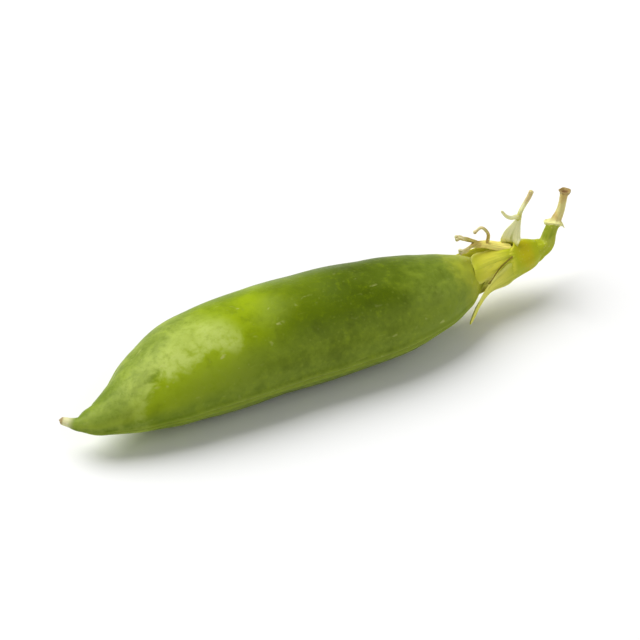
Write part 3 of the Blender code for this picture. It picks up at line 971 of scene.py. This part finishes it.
def stalk_skin(ring, angle):
    """A point of the stalk, marked with its height, how far out it is on the cut end, and the ribs."""
    last = len(stalk_rows) - 1
    row = min(max(ring - 1, 0), last)
    along = Vector((stalk_rows[min(row + 1, last)] - stalk_rows[max(row - 1, 0)])[:3]).normalized()
    across = Vector((0, 1, 0))
    across = (across - along * across.dot(along)).normalized()
    distance, side, height, radius = stalk_rows[row]
    foot = pod_at(STALK_FOOT)
    middle = Vector((distance, side + foot[0], height + foot[1]))
    share = row / last
    if ring == 0:
        return middle, (height, 1, 0)
    inwards = max(0.0, (ring - 1 - last) / (STALK_RINGS - 1 - last))
    rib = math.cos(STALK_RIBS * angle + RIB_TURN * share)
    uneven = noise.noise(Vector((3 * math.cos(angle), 3 * math.sin(angle), 9 * share)))
    towards_point = math.cos(angle - COLLAR_TURN)
    points = towards_point**4
    collar = COLLAR_POINTS * bump(height - COLLAR_HEIGHT, COLLAR_DEPTH) * points
    drop = COLLAR_DROOP * points + COLLAR_TILT * towards_point
    drop *= bump(height - COLLAR_HEIGHT, COLLAR_DROOP_DEPTH)
    radius *= (1 + RIB_RELIEF * rib + STALK_UNEVEN * uneven + collar) * (1 - inwards)
    lip = CUT_LIP * math.sin(math.pi * min(1.0, 4 * inwards))
    sunk = CUT_HOLLOW * min(1.0, 1.3 * max(0.0, inwards - 0.22)) ** 0.7
    turned = across * math.cos(angle) + along.cross(across) * math.sin(angle)
    point = middle + turned * radius + along * (lip - sunk) - Vector((0, 0, drop))
    return point, (height, 1 - inwards, rib)


STALK_GREEN = (0.29, 0.36, 0.012, 1)
STALK_YELLOW = (0.46, 0.5, 0.05, 1)
FOOT_GREEN = (0.43, 0.48, 0.008, 1)
COLLAR_CREAM = (0.8, 0.78, 0.32, 1)
STUB_TAN = (0.62, 0.47, 0.16, 1)
PITH_BROWN = (0.2, 0.1, 0.03, 1)


def stalk_material():
    """Green ribbed skin up to the cream collar, then the tan stub with its brown cut end."""
    settings = {
        "Subsurface Weight": 0.15,
        "Subsurface Radius": (1.0, 0.9, 0.25),
        "Subsurface Scale": 0.0008,
        "Specular IOR Level": 0.2,
    }
    material, tree, shader = new_material("stalk skin", settings)
    place = add_node(tree, "TexCoord").outputs["Object"]
    marks = add_node(tree, "Attribute", attribute_name="place").outputs["Vector"]
    height, from_middle, rib = add_node(tree, "SeparateXYZ", {0: marks}).outputs
    skin = fine_skin(tree, place, 2400.0, 4200.0)
    tone = mottle(tree, place, 500.0, 3.0, 0.6)
    colour = mix(tree, ramp(tree, tone, 0.36, 0.64), STALK_GREEN, STALK_YELLOW)
    colour = mix(tree, ramp(tree, rib, 0.0, 1.0, 0.0, 0.4), colour, STALK_YELLOW)
    colour = mix(tree, ramp(tree, height, 0.1, 1.0, 0.9, 0.0), colour, FOOT_GREEN)
    wavering = maths(tree, "ADD", height, ramp(tree, tone, 0.35, 0.65, -0.12, 0.12))
    colour = mix(tree, ramp(tree, wavering, 2.85, 3.0), colour, COLLAR_CREAM)
    dry = mix(tree, ramp(tree, tone, 0.4, 0.6, 0.0, 0.6), STUB_TAN, COLLAR_CREAM)
    colour = mix(tree, ramp(tree, wavering, 3.2, 3.5), colour, dry)
    colour = mix(tree, ramp(tree, wavering, 6.4, 6.85, 0.0, 0.6), colour, PITH_BROWN)
    colour = mix(tree, ramp(tree, from_middle, 0.35, 0.7, 0.9, 0.0), colour, PITH_BROWN)
    colour = mix(tree, maths(tree, "MULTIPLY", skin["Pores"], 0.3), colour, COLLAR_CREAM)
    roughness = ramp(tree, skin["Grain"], 0.3, 0.7, 0.45, 0.6)
    fibres = mottle(tree, scaled(tree, marks, (0.5, 3.0, 6.0)), 1.0, 3.0)
    height = maths(tree, "ADD", fibres, skin["Height"])
    finish_material(tree, shader, colour, roughness, height, SKIN_RELIEF)
    return material


stalk = add_object("stalk_skin", mapped_ball(STALK_SIDES, STALK_RINGS, stalk_skin), stalk_material())
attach(stalk, "root")
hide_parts("pedicel")

# Table, light and camera. The pod lies on a plain white table. A large soft lamp stands behind it to the
# left and a weaker one in front to the right, with pale light from all round. The camera looks down on its
# side from the left. Places are in metres and powers in watts.
TABLE_HALF_WIDTH = 3
TABLE_FINISH = {
    "Base Color": (0.86, 0.86, 0.86, 1),
    "Roughness": 0.9,
    "Specular IOR Level": 0.1,
}
WORLD_STRENGTH = 0.32
LAMP_AIM = Vector((0, 0, 0.005))
LAMP_SIZE = 0.6
KEY_PLACE = Vector((-0.14, 0.28, 0.5))
KEY_POWER = 4.3
FILL_PLACE = Vector((0.35, -0.5, 0.45))
FILL_POWER = 1.1
CAMERA_AZIMUTH = math.radians(-28)
CAMERA_ELEVATION = math.radians(40)
CAMERA_AIM = Vector((0, 0, 0.0065))
CAMERA_DISTANCE = 1.0
CAMERA_LENS = 470

table_shape = bmesh.new()
bmesh.ops.create_grid(table_shape, x_segments=1, y_segments=1, size=TABLE_HALF_WIDTH)
table_material, _, _ = new_material("white table", TABLE_FINISH)
table = add_object("table", table_shape, table_material)

world = bpy.data.worlds.new("studio")
world.use_nodes = True
world.node_tree.nodes["Background"].inputs["Color"].default_value = (1, 1, 1, 1)
world.node_tree.nodes["Background"].inputs["Strength"].default_value = WORLD_STRENGTH
bpy.context.scene.world = world


def add_aimed(name, data, place, aim):
    """A lamp or camera at this place, looking at its aim."""
    obj = bpy.data.objects.new(name, data)
    bpy.context.scene.collection.objects.link(obj)
    obj.location = place
    obj.rotation_mode = "QUATERNION"
    obj.rotation_quaternion = (aim - place).to_track_quat("-Z", "Y")
    return obj


def add_lamp(name, place, power):
    """A round soft lamp turned to the pod."""
    lamp = bpy.data.lights.new(name, "AREA")
    lamp.shape = "DISK"
    lamp.size = LAMP_SIZE
    lamp.energy = power
    add_aimed(name, lamp, place, LAMP_AIM)


add_lamp("key", KEY_PLACE, KEY_POWER)
add_lamp("fill", FILL_PLACE, FILL_POWER)

camera_lens = bpy.data.cameras.new("camera")
camera_lens.lens = CAMERA_LENS
level = math.cos(CAMERA_ELEVATION)
towards_camera = Vector((
    math.sin(CAMERA_AZIMUTH) * level,
    -math.cos(CAMERA_AZIMUTH) * level,
    math.sin(CAMERA_ELEVATION),
))
camera_place = CAMERA_AIM + towards_camera * CAMERA_DISTANCE
bpy.context.scene.camera = add_aimed("camera", camera_lens, camera_place, CAMERA_AIM)
bpy.context.scene.view_settings.view_transform = "Standard"
